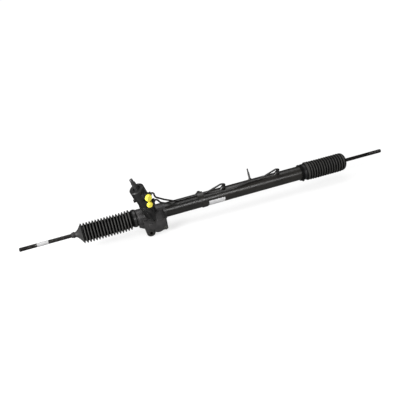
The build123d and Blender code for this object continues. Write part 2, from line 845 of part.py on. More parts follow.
for port_name, x in (("cylinder_port_left", port_left_x), ("cylinder_port_right", port_right_x)):
    with BuildPart() as cylinder_port:
        with BuildSketch(port_plane(x, port_boss_root)):
            Circle(port_boss_radius)
        extrude(amount=port_boss_height - port_boss_root)
        with BuildSketch(across(x - 2 * tube_radius)):
            Circle(tube_radius)
        extrude(amount=4 * tube_radius, mode=Mode.SUBTRACT)
        with BuildSketch(port_plane(x, port_boss_root)):
            Circle(pipe_hole_radius)
        extrude(amount=port_boss_height - port_boss_root, mode=Mode.SUBTRACT)
    cylinder_port.part.label = port_name
    export_step(cylinder_port.part, f"parts/{port_name}.step")

with BuildPart() as tube_pipe_nuts:
    for x in (port_left_x, port_right_x):
        with BuildSketch(port_plane(x, port_boss_height)):
            RegularPolygon(pipe_nut_flats / 2, 6, major_radius=False)
            Circle(pipe_radius, mode=Mode.SUBTRACT)
        extrude(amount=pipe_nut_height)
tube_pipe_nuts.part.label = "tube_pipe_nuts"
export_step(tube_pipe_nuts.part, "parts/tube_pipe_nuts.step")

with BuildPart() as valve_pipe_nuts:
    for angle, s in outlets:
        with BuildSketch(from_tower(angle, outlet_reach, s)):
            RegularPolygon(pipe_nut_flats / 2, 6, major_radius=False)
            Circle(pipe_radius, mode=Mode.SUBTRACT)
        extrude(amount=pipe_nut_height)
valve_pipe_nuts.part.label = "valve_pipe_nuts"
export_step(valve_pipe_nuts.part, "parts/valve_pipe_nuts.step")

# Each pipe leaves the valve housing, drops to the tube, lies along it and ends in a hook that
# turns back into its port. The points are the corners of the route, and the radii round them.
left_lie_angle = 16.0
right_lie_angle = 42.0
crest_angle = 24.0
pipe_elbow = 16.0
hook_reach = 8.0
hook_height = 21.0
hook_crest = 4.0
nut_top = port_boss_height + pipe_nut_height


left_drop = (in_tower(40.0, 2.0, 78.0), in_tower(63.0, 0.0, 48.5))
left_lie_start = -446.0
left_lie_end = -326.0
left_pipe_points = (
    from_tower(outlet_left_angle, outlet_reach, outlet_left_s).origin,
    from_tower(outlet_left_angle, outlet_reach + pipe_elbow, outlet_left_s).origin,
    *left_drop,
    on_tube(left_lie_start, pipe_lie, left_lie_angle),
    on_tube(left_lie_end, pipe_lie, left_lie_angle),
    on_tube(port_left_x - hook_crest, tube_radius + hook_height, port_angle),
    port_plane(port_left_x, nut_top + hook_reach).origin,
    port_plane(port_left_x, port_boss_height).origin,
)
left_pipe_radii = (7.0, 16.0, 24.0, 30.0, 60.0, 9.0, 4.8)
pressure_pipe_left_part = bent_pipe(left_pipe_points, left_pipe_radii, pipe_radius)
pressure_pipe_left_part.label = "pressure_pipe_left"
export_step(pressure_pipe_left_part, "parts/pressure_pipe_left.step")

right_drop = in_tower(48.0, 15.0, 56.0)
right_lie_start = -452.0
right_lie_end = -232.0
crest_start = -164.0
crest_end = -119.0
right_hook_lag = 2.0
right_pipe_points = (
    from_tower(outlet_right_angle, outlet_reach, outlet_right_s).origin,
    from_tower(outlet_right_angle, outlet_reach + pipe_elbow, outlet_right_s).origin,
    right_drop,
    on_tube(right_lie_start, pipe_lie, right_lie_angle),
    on_tube(right_lie_end, pipe_lie, right_lie_angle),
    on_tube(crest_start, pipe_lie, crest_angle),
    on_tube(crest_end, pipe_lie, crest_angle),
    on_tube(port_right_x - hook_crest + right_hook_lag, tube_radius + hook_height, port_angle),
    port_plane(port_right_x, nut_top + hook_reach).origin,
    port_plane(port_right_x, port_boss_height).origin,
)
right_pipe_radii = (6.0, 16.0, 30.0, 90.0, 90.0, 60.0, 9.0, 4.8)
pressure_pipe_right_part = bent_pipe(right_pipe_points, right_pipe_radii, pipe_radius)
pressure_pipe_right_part.label = "pressure_pipe_right"
export_step(pressure_pipe_right_part, "parts/pressure_pipe_right.step")

# ---- pipe clip ---------------------------------------------------------------------------
# A steel strap half round the tube. It arches over both pipes and a bolt pulls its top ear down.

clip_left = -364.0
clip_width = 22.0
clip_thickness = 2.4
clip_top = 5.0
clip_bottom = 142.0
clip_tab_shift = 12.0
clip_back = -24.0
arch_front = 54.0
arch_wall = 4.0
tab_start = 80.0
tab_overlap = 4.0


def strap(x, width, inner, outer, from_angle, to_angle):
    """A curved strip round the tube between two angles from the top towards the front."""
    far = 3 * outer
    steps = 4
    wedge = [(0, 0)]
    for i in range(steps + 1):
        angle = radians(from_angle + (to_angle - from_angle) * i / steps)
        wedge.append((-far * sin(angle), far * cos(angle)))
    with BuildPart() as made:
        with BuildSketch(across(x)):
            Circle(outer)
            Circle(inner, mode=Mode.SUBTRACT)
            with BuildLine():
                Polyline(*wedge, close=True)
            make_face(mode=Mode.INTERSECT)
        extrude(amount=width)
    return made.part


arch_inner = pipe_lie + pipe_radius
arch_outer = arch_inner + clip_thickness
band_outer = tube_radius + clip_thickness
with BuildPart() as pipe_clip:
    for shift, inner, outer, from_angle, to_angle in (
            (0, tube_radius, band_outer, clip_back, clip_top),
            (0, tube_radius, arch_outer, clip_top - arch_wall, clip_top),
            (0, arch_inner, arch_outer, clip_top, arch_front),
            (0, tube_radius, arch_outer, arch_front, arch_front + arch_wall),
            (0, tube_radius, band_outer, arch_front + arch_wall, tab_start + tab_overlap),
            (clip_tab_shift, tube_radius, band_outer, tab_start, clip_bottom)):
        add(strap(clip_left + shift, clip_width, inner, outer, from_angle, to_angle))
pipe_clip.part.label = "pipe_clip"
export_step(pipe_clip.part, "parts/pipe_clip.step")

clip_stud_angle = -13.0
clip_nut_flats = 10.0
clip_nut_height = 6.0
clip_bolt_x = clip_left + clip_width / 2
clip_bolt_plane = Plane(origin=on_tube(clip_bolt_x, tube_radius + clip_thickness, clip_stud_angle),
                        x_dir=(1, 0, 0), z_dir=on_tube(0, 1, clip_stud_angle))
with BuildPart() as clip_bolt:
    with BuildSketch(clip_bolt_plane):
        RegularPolygon(clip_nut_flats / 2, 6, major_radius=False)
    extrude(amount=clip_nut_height)
    with BuildSketch(across(clip_left)):
        Circle(tube_radius + clip_thickness)
    extrude(amount=clip_width, mode=Mode.SUBTRACT)
clip_bolt.part.label = "clip_bolt"
export_step(clip_bolt.part, "parts/clip_bolt.step")

# A threaded stud is welded on the tube's top rear, for a line bracket on the car.
stud_x = -150.0
stud_angle = -28.0
stud_body_radius = 3.7
stud_body_top = 53.0
stud_tip_radius = 2.7
stud_tip_top = 67.0
stud_foot_radius = 6.0
stud_foot_top = 29.5
stud_plane = Plane(origin=(stud_x, 0, 0), x_dir=(1, 0, 0), z_dir=on_tube(0, 1, stud_angle))
with BuildPart() as line_stud:
    for radius, top in ((stud_foot_radius, stud_foot_top), (stud_body_radius, stud_body_top),
                        (stud_tip_radius, stud_tip_top)):
        with BuildSketch(stud_plane):
            Circle(radius)
        extrude(amount=top)
    with BuildSketch(across(stud_x - tube_radius)):
        Circle(tube_radius)
    extrude(amount=2 * tube_radius, mode=Mode.SUBTRACT)
line_stud.part.label = "line_stud"
export_step(line_stud.part, "parts/line_stud.step")

# ---- yoke --------------------------------------------------------------------------------
# Behind the rack a sliding yoke presses it against the pinion: a spring, a plug and a locknut.

yoke_front = 5.0
yoke_back = 32.0
yoke_play = 0.1
yoke_pocket_radius = 8.5
yoke_pocket_depth = 9.0
with BuildPart() as yoke:
    with BuildSketch(to_back(yoke_front)):
        Circle(yoke_radius - yoke_play)
    extrude(amount=yoke_back - yoke_front)
    with BuildSketch(across(crossing_x - 2 * yoke_radius)):
        Circle(rack_radius + running)
    extrude(amount=4 * yoke_radius, mode=Mode.SUBTRACT)
    with BuildSketch(to_back(yoke_back - yoke_pocket_depth)):
        Circle(yoke_pocket_radius)
    extrude(amount=yoke_pocket_depth, mode=Mode.SUBTRACT)
yoke.part.label = "yoke"
export_step(yoke.part, "parts/yoke.step")

plug_head = 5.0
plug_hex_radius = 8.0
plug_proud = 10.0
plug_back = yoke_boss_reach + plug_proud
with BuildPart() as yoke_plug:
    with BuildSketch(to_back(plug_seat)):
        Circle(plug_radius)
    extrude(amount=plug_back - plug_seat)
    with BuildSketch(to_back(plug_back - plug_head)):
        RegularPolygon(plug_hex_radius, 6)
    extrude(amount=plug_head, mode=Mode.SUBTRACT)
yoke_plug.part.label = "yoke_plug"
export_step(yoke_plug.part, "parts/yoke_plug.step")

locknut_flats = 44.0
locknut_height = 6.0
yoke_locknut_part = hex_ring(to_back(yoke_boss_reach), locknut_flats, plug_radius, locknut_height)
yoke_locknut_part.label = "yoke_locknut"
export_step(yoke_locknut_part, "parts/yoke_locknut.step")

spring_wire = 1.4
spring_radius = 6.4
spring_gap = 0.1
spring_start = yoke_back - yoke_pocket_depth + spring_wire + spring_gap
spring_end = plug_seat - spring_wire - spring_gap
spring_turns = 4
spring_base = crossing + tower_back * spring_start
with BuildPart() as yoke_spring:
    with BuildLine() as coil:
        Helix(pitch=(spring_end - spring_start) / spring_turns, height=spring_end - spring_start,
              radius=spring_radius, center=spring_base, direction=tower_back)
    with BuildSketch(Plane(origin=coil.wires()[0] @ 0, z_dir=coil.wires()[0] % 0)):
        Circle(spring_wire)
    sweep(path=coil.wires()[0], is_frenet=True)
yoke_spring.part.label = "yoke_spring"
export_step(yoke_spring.part, "parts/yoke_spring.step")

# ---- inner ball joints and tie rods ------------------------------------------------------

shoulder = 24.0
washer_thickness = 3.0
washer_radius = 18.5
socket_back = shoulder - washer_thickness
socket_flat_radius = 18.5
socket_step = 9.0
socket_mouth = 9.0
mouth_chamfer = 3.0
stud_reach = stud_length - washer_thickness
cavity_radius = seat_radius + running
shell_bore = ball_radius + running
shell_opening = 51.0
rod_root = 10.0
neck_end = 58.0
neck_taper = 8.0
groove_radius = 6.3
groove_half = 5.0
tip_bevel = 1.2

for end, ball_x, outward in (("left", ball_left_x, -1), ("right", ball_right_x, 1)):
    rack_end = ball_x - outward * shoulder
    washer_start = min(rack_end, rack_end + outward * washer_thickness)
    lock_washer_part = ring(across(washer_start), washer_radius, stud_radius, washer_thickness)
    lock_washer_part.label = f"lock_washer_{end}"
    export_step(lock_washer_part, f"parts/lock_washer_{end}.step")

    # the socket screws into the rack and holds the ball in its plastic shell
    socket_profile = (
        (-socket_back - stud_reach, 0), (-socket_back - stud_reach, stud_radius),
        (-socket_back, stud_radius),
        (-socket_back, socket_flat_radius), (-socket_step, socket_flat_radius),
        (-socket_step + socket_radius - socket_flat_radius, socket_radius),
        (socket_mouth - mouth_chamfer, socket_radius), (socket_mouth, socket_radius - mouth_chamfer),
        (socket_mouth, 0),
    )
    with BuildPart() as inner_socket:
        add(turned([(ball_x + outward * d, r) for d, r in socket_profile]))
        with Locations((ball_x, 0, 0)):
            Sphere(cavity_radius, mode=Mode.SUBTRACT)
    inner_socket.part.label = f"inner_socket_{end}"
    export_step(inner_socket.part, f"parts/inner_socket_{end}.step")

    opening_reach = 2 * seat_radius
    opening_radius = opening_reach * tan(radians(shell_opening))
    opening_profile = ((0, 0), (opening_reach, opening_radius), (opening_reach, 0))
    with BuildPart() as ball_shell:
        with Locations((ball_x, 0, 0)):
            Sphere(seat_radius)
            Sphere(shell_bore, mode=Mode.SUBTRACT)
        add(turned([(ball_x + outward * d, r) for d, r in opening_profile]), mode=Mode.SUBTRACT)
    ball_shell.part.label = f"ball_shell_{end}"
    export_step(ball_shell.part, f"parts/ball_shell_{end}.step")

    # the tie rod: ball, neck, the groove that the boot's collar sits in, and the threaded end
    rod_profile = (
        (rod_root, 0), (rod_root, rod_neck_radius), (neck_end, rod_neck_radius),
        (neck_end + neck_taper, rod_radius),
        (groove_station - groove_half, rod_radius), (groove_station - groove_half, groove_radius),
        (groove_station + groove_half, groove_radius), (groove_station + groove_half, rod_radius),
        (rod_length - thread_length, rod_radius), (rod_length - thread_length, thread_radius),
        (rod_length - tip_bevel, thread_radius), (rod_length, thread_radius - tip_bevel), (rod_length, 0),
    )
    with BuildPart() as tie_rod:
        add(turned([(ball_x + outward * d, r) for d, r in rod_profile]))
        with Locations((ball_x, 0, 0)):
            Sphere(ball_radius)
    tie_rod.part.label = f"tie_rod_{end}"
    export_step(tie_rod.part, f"parts/tie_rod_{end}.step")

# ---- boots -------------------------------------------------------------------------------
# Two rubber bellows keep dirt off the ball joints. The left one stands open with a cone down to
# its collar. The right one is pushed together, and its last fold rolls in over the collar.

cuff_gap = 0.05
left_cuff_radius = 31.0
left_cuff_bore = boot_seat_radius + cuff_gap
left_cuff_x = -591.0
left_cuff_end_x = -607.0
left_waist_x = -608.5
left_waist_radius = 29.2
left_ribs_x = -611.2
left_ribs_end_x = -779.2
left_rim_x = -784.5
left_cone_x = -805.5
left_collar_root_x = -808.5
left_collar_x = -822.0
boot_collar_radius = 9.6
bead_bore = groove_radius + cuff_gap
collar_bore = rod_radius + cuff_gap
right_cuff_radius = 29.4
right_cuff_bore = seat_ring_radius + cuff_gap
right_cuff_x = 44.0
right_cuff_end_x = 65.0
right_shoulder_x = 72.5
right_shoulder_end_x = 75.5
right_ribs_x = 79.2
right_rim_x = 214.4
right_end_x = 234.0
right_lip_radius = 31.0
right_lip_x = 47.0
tuck_radius = 9.0
tuck_outer = 7.8


def folds(start_x, end_x, count, valley, crest):
    """The (x, radius) points of a bellows between its cuff and its last fold."""
    points = []
    pitch = (end_x - start_x) / count
    for k in range(count):
        points.append((start_x + k * pitch, valley))
        points.append((start_x + (k + 0.5) * pitch, crest))
    points.append((end_x, valley))
    return points


def thinner(points):
    """The same points one wall thickness nearer the axis."""
    return [(x, radius - boot_wall) for x, radius in points]


left_folds = folds(left_ribs_x, left_ribs_end_x, left_rib_count, left_rib_valley, left_rib_crest)
left_outside = [(left_cuff_x, left_cuff_radius), (left_cuff_end_x, left_cuff_radius),
                (left_waist_x, left_waist_radius)] + left_folds + [
    (left_rim_x, left_rib_crest), (left_cone_x, boot_collar_radius + 1),
    (left_collar_root_x, boot_collar_radius), (left_collar_x, boot_collar_radius)]
left_bead_outer = ball_left_x - groove_station - groove_half + cuff_gap
left_bead_inner = ball_left_x - groove_station + groove_half - cuff_gap
left_inside = [(left_collar_x, collar_bore), (left_bead_outer, collar_bore), (left_bead_outer, bead_bore),
               (left_bead_inner, bead_bore), (left_bead_inner, collar_bore),
               (left_cone_x, boot_collar_radius),
               (left_rim_x + boot_wall, left_rib_crest - 2 * boot_wall)]
left_inside += thinner(left_folds)[::-1]
left_inside += [(left_waist_x, left_waist_radius - boot_wall), (left_cuff_end_x, left_cuff_bore),
                (left_cuff_x, left_cuff_bore)]
boot_left_part = turned(left_outside + left_inside)
boot_left_part.label = "boot_left"
export_step(boot_left_part, "parts/boot_left.step")

# (x, radius) points round the right boot's last fold, outside and inside its wall
dome_outside = ((218.6, 33.6), (227.5, 30.5), (232.5, 24.0), (right_end_x, 16.0), (232.5, 10.5),
                (228.5, tuck_outer))
dome_inside = ((227.5, tuck_radius), (230.7, 12.0), (232.1, 16.0), (230.7, 23.2), (226.2, 28.9),
               (218.1, 32.0))
right_collar_inner = ball_right_x + groove_station - groove_half + cuff_gap
right_collar_outer = ball_right_x + groove_station + groove_half - cuff_gap
right_folds = folds(right_ribs_x, right_rim_x, right_rib_count, right_rib_valley, right_rib_crest)
right_shoulder = [(right_shoulder_x, right_rib_crest), (right_shoulder_end_x, right_rib_crest)]
right_outside = [(right_cuff_x, right_lip_radius), (right_lip_x, right_lip_radius),
                 (right_lip_x + 1, right_cuff_radius), (right_cuff_end_x, right_cuff_radius)]
right_outside += right_shoulder + right_folds + list(dome_outside)
right_outside += [(right_collar_outer, tuck_outer), (right_collar_outer, bead_bore)]
right_inside = [(right_collar_inner, bead_bore), (right_collar_inner, tuck_radius)] + list(dome_inside)
right_inside += thinner(right_folds)[::-1] + thinner(right_shoulder)[::-1]
right_inside += [(right_cuff_end_x, right_cuff_bore), (right_cuff_x, right_cuff_bore)]
boot_right_part = turned(right_outside + right_inside)
boot_right_part.label = "boot_right"
export_step(boot_right_part, "parts/boot_right.step")

# Screw clamps hold the cuffs on the housing and on the tube's seat ring.
clamp_width = 8.0
clamp_thickness = 1.2
clamp_ear_width = 9.0
clamp_ear_reach = 7.5
clamp_ear_gap = 2.0
left_clamp_x = -603.0
left_ears_angle = 0.0
right_clamp_x = 55.5
right_ears_angle = -90.0
for clamp_name, x, angle, cuff_radius in (
        ("boot_clamp_left", left_clamp_x, left_ears_angle, left_cuff_radius),
        ("boot_clamp_right", right_clamp_x, right_ears_angle, right_cuff_radius)):
    clamp_inner = cuff_radius + cuff_gap
    with BuildPart() as boot_clamp:
        with BuildSketch(across(x)):
            Circle(clamp_inner + clamp_thickness)
            with PolarLocations(clamp_inner, 1, start_angle=angle):
                Rectangle(2 * clamp_ear_reach, clamp_ear_width)
            Circle(clamp_inner, mode=Mode.SUBTRACT)
            with PolarLocations(clamp_inner + clamp_ear_reach - clamp_thickness, 1, start_angle=angle):
                Rectangle(2 * clamp_ear_reach, clamp_ear_gap, mode=Mode.SUBTRACT)
        extrude(amount=clamp_width)
    boot_clamp.part.label = clamp_name
    export_step(boot_clamp.part, f"parts/{clamp_name}.step")

# Spring clips hold the small collars in the tie rods' grooves.
clip_ring_width = 4.0
clip_ring_thickness = 1.4
left_clip_x = ball_left_x - groove_station - clip_ring_width / 2
boot_clip_left_part = ring(across(left_clip_x), boot_collar_radius + cuff_gap + clip_ring_thickness,
                           boot_collar_radius + cuff_gap, clip_ring_width)
boot_clip_left_part.label = "boot_clip_left"
export_step(boot_clip_left_part, "parts/boot_clip_left.step")

right_clip_x = ball_right_x + groove_station - clip_ring_width / 2
boot_clip_right_part = ring(across(right_clip_x), tuck_radius + cuff_gap + clip_ring_thickness,
                            tuck_radius + cuff_gap, clip_ring_width)
boot_clip_right_part.label = "boot_clip_right"
export_step(boot_clip_right_part, "parts/boot_clip_right.step")

# ---- paper labels ------------------------------------------------------------------------

label_thickness = 0.25
rod_label_start = -940.0
rod_label_length = 39.0
rod_label_part = ring(across(rod_label_start), rod_radius + label_thickness, rod_radius, rod_label_length)
rod_label_part.label = "rod_label"
export_step(rod_label_part, "parts/rod_label.step")

tube_label_x = -326.0
tube_label_length = 61.0
tube_label_top = 98.0
tube_label_bottom = 158.0
tube_label_part = strap(tube_label_x, tube_label_length, tube_radius, tube_radius + label_thickness,
                        tube_label_top, tube_label_bottom)
tube_label_part.label = "tube_label"
export_step(tube_label_part, "parts/tube_label.step")
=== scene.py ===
from math import cos, pi, radians, sin

import bmesh
import bpy
from mathutils import Matrix, Vector


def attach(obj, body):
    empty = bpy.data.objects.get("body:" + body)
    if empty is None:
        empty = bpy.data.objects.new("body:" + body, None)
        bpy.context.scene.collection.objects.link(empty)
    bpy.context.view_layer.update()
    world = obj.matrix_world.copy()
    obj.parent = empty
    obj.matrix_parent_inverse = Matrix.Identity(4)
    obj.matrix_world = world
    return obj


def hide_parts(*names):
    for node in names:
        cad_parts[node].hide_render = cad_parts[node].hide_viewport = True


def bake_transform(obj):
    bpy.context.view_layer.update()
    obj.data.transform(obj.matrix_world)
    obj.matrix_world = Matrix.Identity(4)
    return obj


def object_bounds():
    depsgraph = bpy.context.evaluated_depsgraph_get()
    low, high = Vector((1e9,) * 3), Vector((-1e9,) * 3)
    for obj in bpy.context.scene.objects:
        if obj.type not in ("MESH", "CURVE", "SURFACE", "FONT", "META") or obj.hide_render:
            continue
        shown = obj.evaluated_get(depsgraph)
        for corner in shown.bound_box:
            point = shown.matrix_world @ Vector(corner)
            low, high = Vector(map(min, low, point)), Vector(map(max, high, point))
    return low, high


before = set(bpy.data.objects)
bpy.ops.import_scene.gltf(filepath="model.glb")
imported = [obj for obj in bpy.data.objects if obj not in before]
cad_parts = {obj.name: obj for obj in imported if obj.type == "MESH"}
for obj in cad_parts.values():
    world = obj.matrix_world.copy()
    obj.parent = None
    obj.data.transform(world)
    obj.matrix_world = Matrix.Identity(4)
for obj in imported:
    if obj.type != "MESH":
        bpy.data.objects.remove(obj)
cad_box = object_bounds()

# ---- camera ------------------------------------------------------------------------------
# A 45 mm lens looks down on the rack from in front and a little to the left. It is rolled, so
# the rack climbs to the right across the frame.
lens = 45.0
sight_end = 30.0
aim = Vector((-0.353, 0.0, 0.0012))
camera_reach = 1.818
camera_turn = radians(11.3)
camera_rise = radians(30.0)
camera_roll = radians(8.95)

to_camera = Vector((-sin(camera_turn),
                    -cos(camera_turn) * cos(camera_rise),
                    cos(camera_turn) * sin(camera_rise)))
level_right = Vector((0, 0, 1)).cross(to_camera).normalized()
level_up = to_camera.cross(level_right)
view_right = level_right * cos(camera_roll) - level_up * sin(camera_roll)
view_up = level_right * sin(camera_roll) + level_up * cos(camera_roll)
facing = Matrix((view_right, view_up, to_camera)).transposed().to_4x4()
camera_data = bpy.data.cameras.new("camera")
camera_data.lens = lens
camera_data.clip_end = sight_end
camera = bpy.data.objects.new("camera", camera_data)
camera.matrix_world = Matrix.Translation(aim + to_camera * camera_reach) @ facing
bpy.context.scene.collection.objects.link(camera)
bpy.context.scene.camera = camera

# ---- floor and studio light --------------------------------------------------------------
# A white sweep of floor and wall, lit by soft boxes: one long box in front of the tube, one
# overhead and one at the left end. The sweep is white to the lens and keeps a soft shadow.
floor_size = 40.0
floor_drop = 0.001
floor_stretch = (0.45, 1.0, 1.0)
near_shade = 0.34
far_shade = 0.12
near_lift = 0.72
far_lift = 1.04
falloff_start = 0.12
falloff_end = 0.9
sky_colour = (1.0, 1.0, 1.0, 1)
sky_strength = 0.07
wall_strength = 1.0


def distance(tree, stretch, shift):
    """How far each place is from the piece's origin, in metres, once stretched and then shifted."""
    place = tree.nodes.new("ShaderNodeTexCoord")
    moved = tree.nodes.new("ShaderNodeVectorMath")
    moved.operation = "MULTIPLY_ADD"
    moved.inputs[1].default_value = stretch
    moved.inputs[2].default_value = shift
    length = tree.nodes.new("ShaderNodeVectorMath")
    length.operation = "LENGTH"
    tree.links.new(place.outputs["Object"], moved.inputs[0])
    tree.links.new(moved.outputs["Vector"], length.inputs[0])
    return length.outputs["Value"]


def ramped(tree, value, start, end, first, last):
    """A value that goes from first to last while the given one goes from start to end."""
    limits = tree.nodes.new("ShaderNodeMapRange")
    limits.inputs["From Min"].default_value = start
    limits.inputs["From Max"].default_value = end
    limits.inputs["To Min"].default_value = first
    limits.inputs["To Max"].default_value = last
    tree.links.new(value, limits.inputs["Value"])
    return limits.outputs["Result"]


def shown_to_lens(tree, lit, shown, surface):
    """The surface lights the rack as the lit shader does, and the lens sees the shown one."""
    ray = tree.nodes.new("ShaderNodeLightPath")
    pick = tree.nodes.new("ShaderNodeMixShader")
    tree.links.new(ray.outputs["Is Camera Ray"], pick.inputs[0])
    tree.links.new(lit, pick.inputs[1])
    tree.links.new(shown, pick.inputs[2])
    tree.links.new(pick.outputs[0], surface)


bpy.ops.mesh.primitive_plane_add(size=floor_size, location=(aim.x, 0, cad_box[0].z - floor_drop))
floor = bpy.context.object
floor.name = "floor"
floor_paint = bpy.data.materials.new("floor_paint")
floor_paint.use_nodes = True
tree = floor_paint.node_tree
tree.nodes.remove(tree.nodes["Principled BSDF"])
away = distance(tree, floor_stretch, (0, 0, 0))
matt = tree.nodes.new("ShaderNodeBsdfDiffuse")
glow = tree.nodes.new("ShaderNodeEmission")
both = tree.nodes.new("ShaderNodeAddShader")
tree.links.new(ramped(tree, away, falloff_start, falloff_end, near_shade, far_shade), matt.inputs["Color"])
tree.links.new(ramped(tree, away, falloff_start, falloff_end, near_lift, far_lift), glow.inputs["Strength"])
tree.links.new(matt.outputs[0], both.inputs[0])
tree.links.new(glow.outputs[0], both.inputs[1])
shown_to_lens(tree, matt.outputs[0], both.outputs[0], tree.nodes["Material Output"].inputs["Surface"])
floor.data.materials.append(floor_paint)

world = bpy.data.worlds.new("studio")
bpy.context.scene.world = world
world.use_nodes = True
tree = world.node_tree
room = tree.nodes["Background"]
wall = tree.nodes.new("ShaderNodeBackground")
for backdrop, strength in ((room, sky_strength), (wall, wall_strength)):
    backdrop.inputs["Color"].default_value = sky_colour
    backdrop.inputs["Strength"].default_value = strength
shown_to_lens(tree, room.outputs[0], wall.outputs[0], tree.nodes["World Output"].inputs["Surface"])
bpy.context.scene.view_settings.view_transform = "Standard"

for name, spot, target, width, height, watts in (
        ("front_box", (0.05, -2.0, 0.85), (-0.25, 0, 0), 1.6, 0.35, 23.0),
        ("top_box", (-0.4, 0.5, 2.2), (-0.35, 0, 0), 2.6, 1.4, 34.0),
        ("left_box", (-2.3, -0.9, 0.9), (-0.5, 0, 0), 1.2, 0.9, 62.0)):
    lamp_data = bpy.data.lights.new(name, "AREA")
    lamp_data.shape = "RECTANGLE"
    lamp_data.size = width
    lamp_data.size_y = height
    lamp_data.energy = watts
    lamp = bpy.data.objects.new(name, lamp_data)
    lamp.location = spot
    lamp.rotation_euler = (Vector(target) - Vector(spot)).to_track_quat("-Z", "Y").to_euler()
    bpy.context.scene.collection.objects.link(lamp)

# ---- gear housing ------------------------------------------------------------------------
# An iron casting in satin black paint, with the pressed-in cover under the pinion. The sand
# mould's grain shows through the paint. Round the pinion's boss, under the caps and the tower, shade is
# painted into its colour.
cloud_low = 0.3
cloud_high = 0.7
first_tone_end = 0.32
second_tone_start = 0.68
colour_detail = 3.0
sheen_detail = 4.0
sheen_fineness = 3
relief_detail = 2.0
edge_samples = 6
# Where shade is painted into the housing's colour: darkest at this spot round the pinion's boss.
painted_shade_spot = Vector((-0.549, -0.046, 0.033))
painted_shade_reach = 0.024
painted_shade_fade_end = 0.05
painted_shade_level = 0.08


def clouds(tree, scale, detail):
    """A cloudy pattern fixed to the piece, scale patches to a metre."""
    place = tree.nodes.new("ShaderNodeTexCoord")
    cloud = tree.nodes.new("ShaderNodeTexNoise")
    cloud.inputs["Scale"].default_value = scale
    cloud.inputs["Detail"].default_value = detail
    tree.links.new(place.outputs["Object"], cloud.inputs["Vector"])
    return cloud.outputs["Fac"]


def two_tone(tree, pattern, first, second):
    """A colour that goes from first to second with the pattern."""
    ramp = tree.nodes.new("ShaderNodeValToRGB")
    first_tone, second_tone = ramp.color_ramp.elements
    first_tone.position = first_tone_end
    first_tone.color = (*first, 1)
    second_tone.position = second_tone_start
    second_tone.color = (*second, 1)
    tree.links.new(pattern, ramp.inputs["Fac"])
    return ramp.outputs["Color"]


def raised(tree, pattern, height, under=None):
    """A surface normal raised by the pattern, on top of the normal under it if there is one."""
    bump = tree.nodes.new("ShaderNodeBump")
    bump.inputs["Distance"].default_value = height
    tree.links.new(pattern, bump.inputs["Height"])
    if under is not None:
        tree.links.new(under, bump.inputs["Normal"])
    return bump.outputs["Normal"]


def finish(name, first, second, patches, roughness, grain, relief, metal=0.0, specular=0.5,
           swell=0.0, swell_height=0.0, edge=0.0):
    """A finish whose colour drifts from first to second in patches, and whose roughness drifts too.

    patches, grain and swell are scales, in patterns to a metre. relief and swell_height are the
    heights of the grain and the swell, and edge is the radius that rounds sharp edges, in metres.
    """
    made = bpy.data.materials.new(name)
    made.use_nodes = True
    tree = made.node_tree
    shader = tree.nodes["Principled BSDF"]
    shader.inputs["Metallic"].default_value = metal
    shader.inputs["Specular IOR Level"].default_value = specular
    colour = two_tone(tree, clouds(tree, patches, colour_detail), first, second)
    tree.links.new(colour, shader.inputs["Base Color"])
    sheen = clouds(tree, patches * sheen_fineness, sheen_detail)
    tree.links.new(ramped(tree, sheen, cloud_low, cloud_high, *roughness), shader.inputs["Roughness"])
    under = None
    if edge:
        rounding = tree.nodes.new("ShaderNodeBevel")
        rounding.samples = edge_samples
        rounding.inputs["Radius"].default_value = edge
        under = rounding.outputs["Normal"]
    if swell:
        under = raised(tree, clouds(tree, swell, relief_detail), swell_height, under)
    surface = raised(tree, clouds(tree, grain, relief_detail), relief, under)
    tree.links.new(surface, shader.inputs["Normal"])
    return made


def paint_shade_into(material, value, start, end, shade):
    """Paints shade into the material's colour: dimmed to shade where the value is at start, and whole from
    end on.
    """
    tree = material.node_tree
    dimmed = tree.nodes.new("ShaderNodeVectorMath")
    dimmed.operation = "SCALE"
    tree.links.new(tree.nodes["Color Ramp"].outputs["Color"], dimmed.inputs[0])
    tree.links.new(ramped(tree, value, start, end, shade, 1.0), dimmed.inputs["Scale"])
    tree.links.new(dimmed.outputs["Vector"], tree.nodes["Principled BSDF"].inputs["Base Color"])


def dress(material, *nodes):
    """The CAD nodes take this material."""
    for node in nodes:
        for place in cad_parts[node].material_slots:
            place.material = material


painted_iron = finish("painted_iron", first=(0.018, 0.0172, 0.0175), second=(0.04, 0.038, 0.0385),
                      patches=40.0, roughness=(0.38, 0.52), grain=700.0, relief=0.0002,
                      swell=120.0, swell_height=0.0004, edge=0.002)
# Painted shade: the housing's colour is dimmed round the pinion's boss, where the caps and tower shade it.
from_painted_shade_spot = distance(painted_iron.node_tree, (1, 1, 1), -painted_shade_spot)
paint_shade_into(painted_iron, from_painted_shade_spot, painted_shade_reach, painted_shade_fade_end, painted_shade_level)
dress(painted_iron, "gear_housing", "bottom_cover")

# ---- foot bolt, sleeve, bush and seals ---------------------------------------------------
# The foot's bolt and the eye's inner sleeve are zinc-plated steel. The sleeve is bonded into
# a black rubber bush that is pressed into the eye. The shaft's and the rack's seals match it.
zinc = finish("zinc_plate", first=(0.12, 0.118, 0.11), second=(0.2, 0.196, 0.185), patches=90.0,
              roughness=(0.28, 0.42), grain=1400.0, relief=0.00004, metal=1.0)
dress(zinc, "mount_sleeve", "foot_screw")
bush_rubber = finish("bush_rubber", first=(0.012, 0.012, 0.012), second=(0.022, 0.021, 0.02), patches=80.0,
                     roughness=(0.55, 0.7), grain=900.0, relief=0.00006)
dress(bush_rubber, "mount_bush", "input_seal", "rack_seal_inner", "rack_seal_outer")

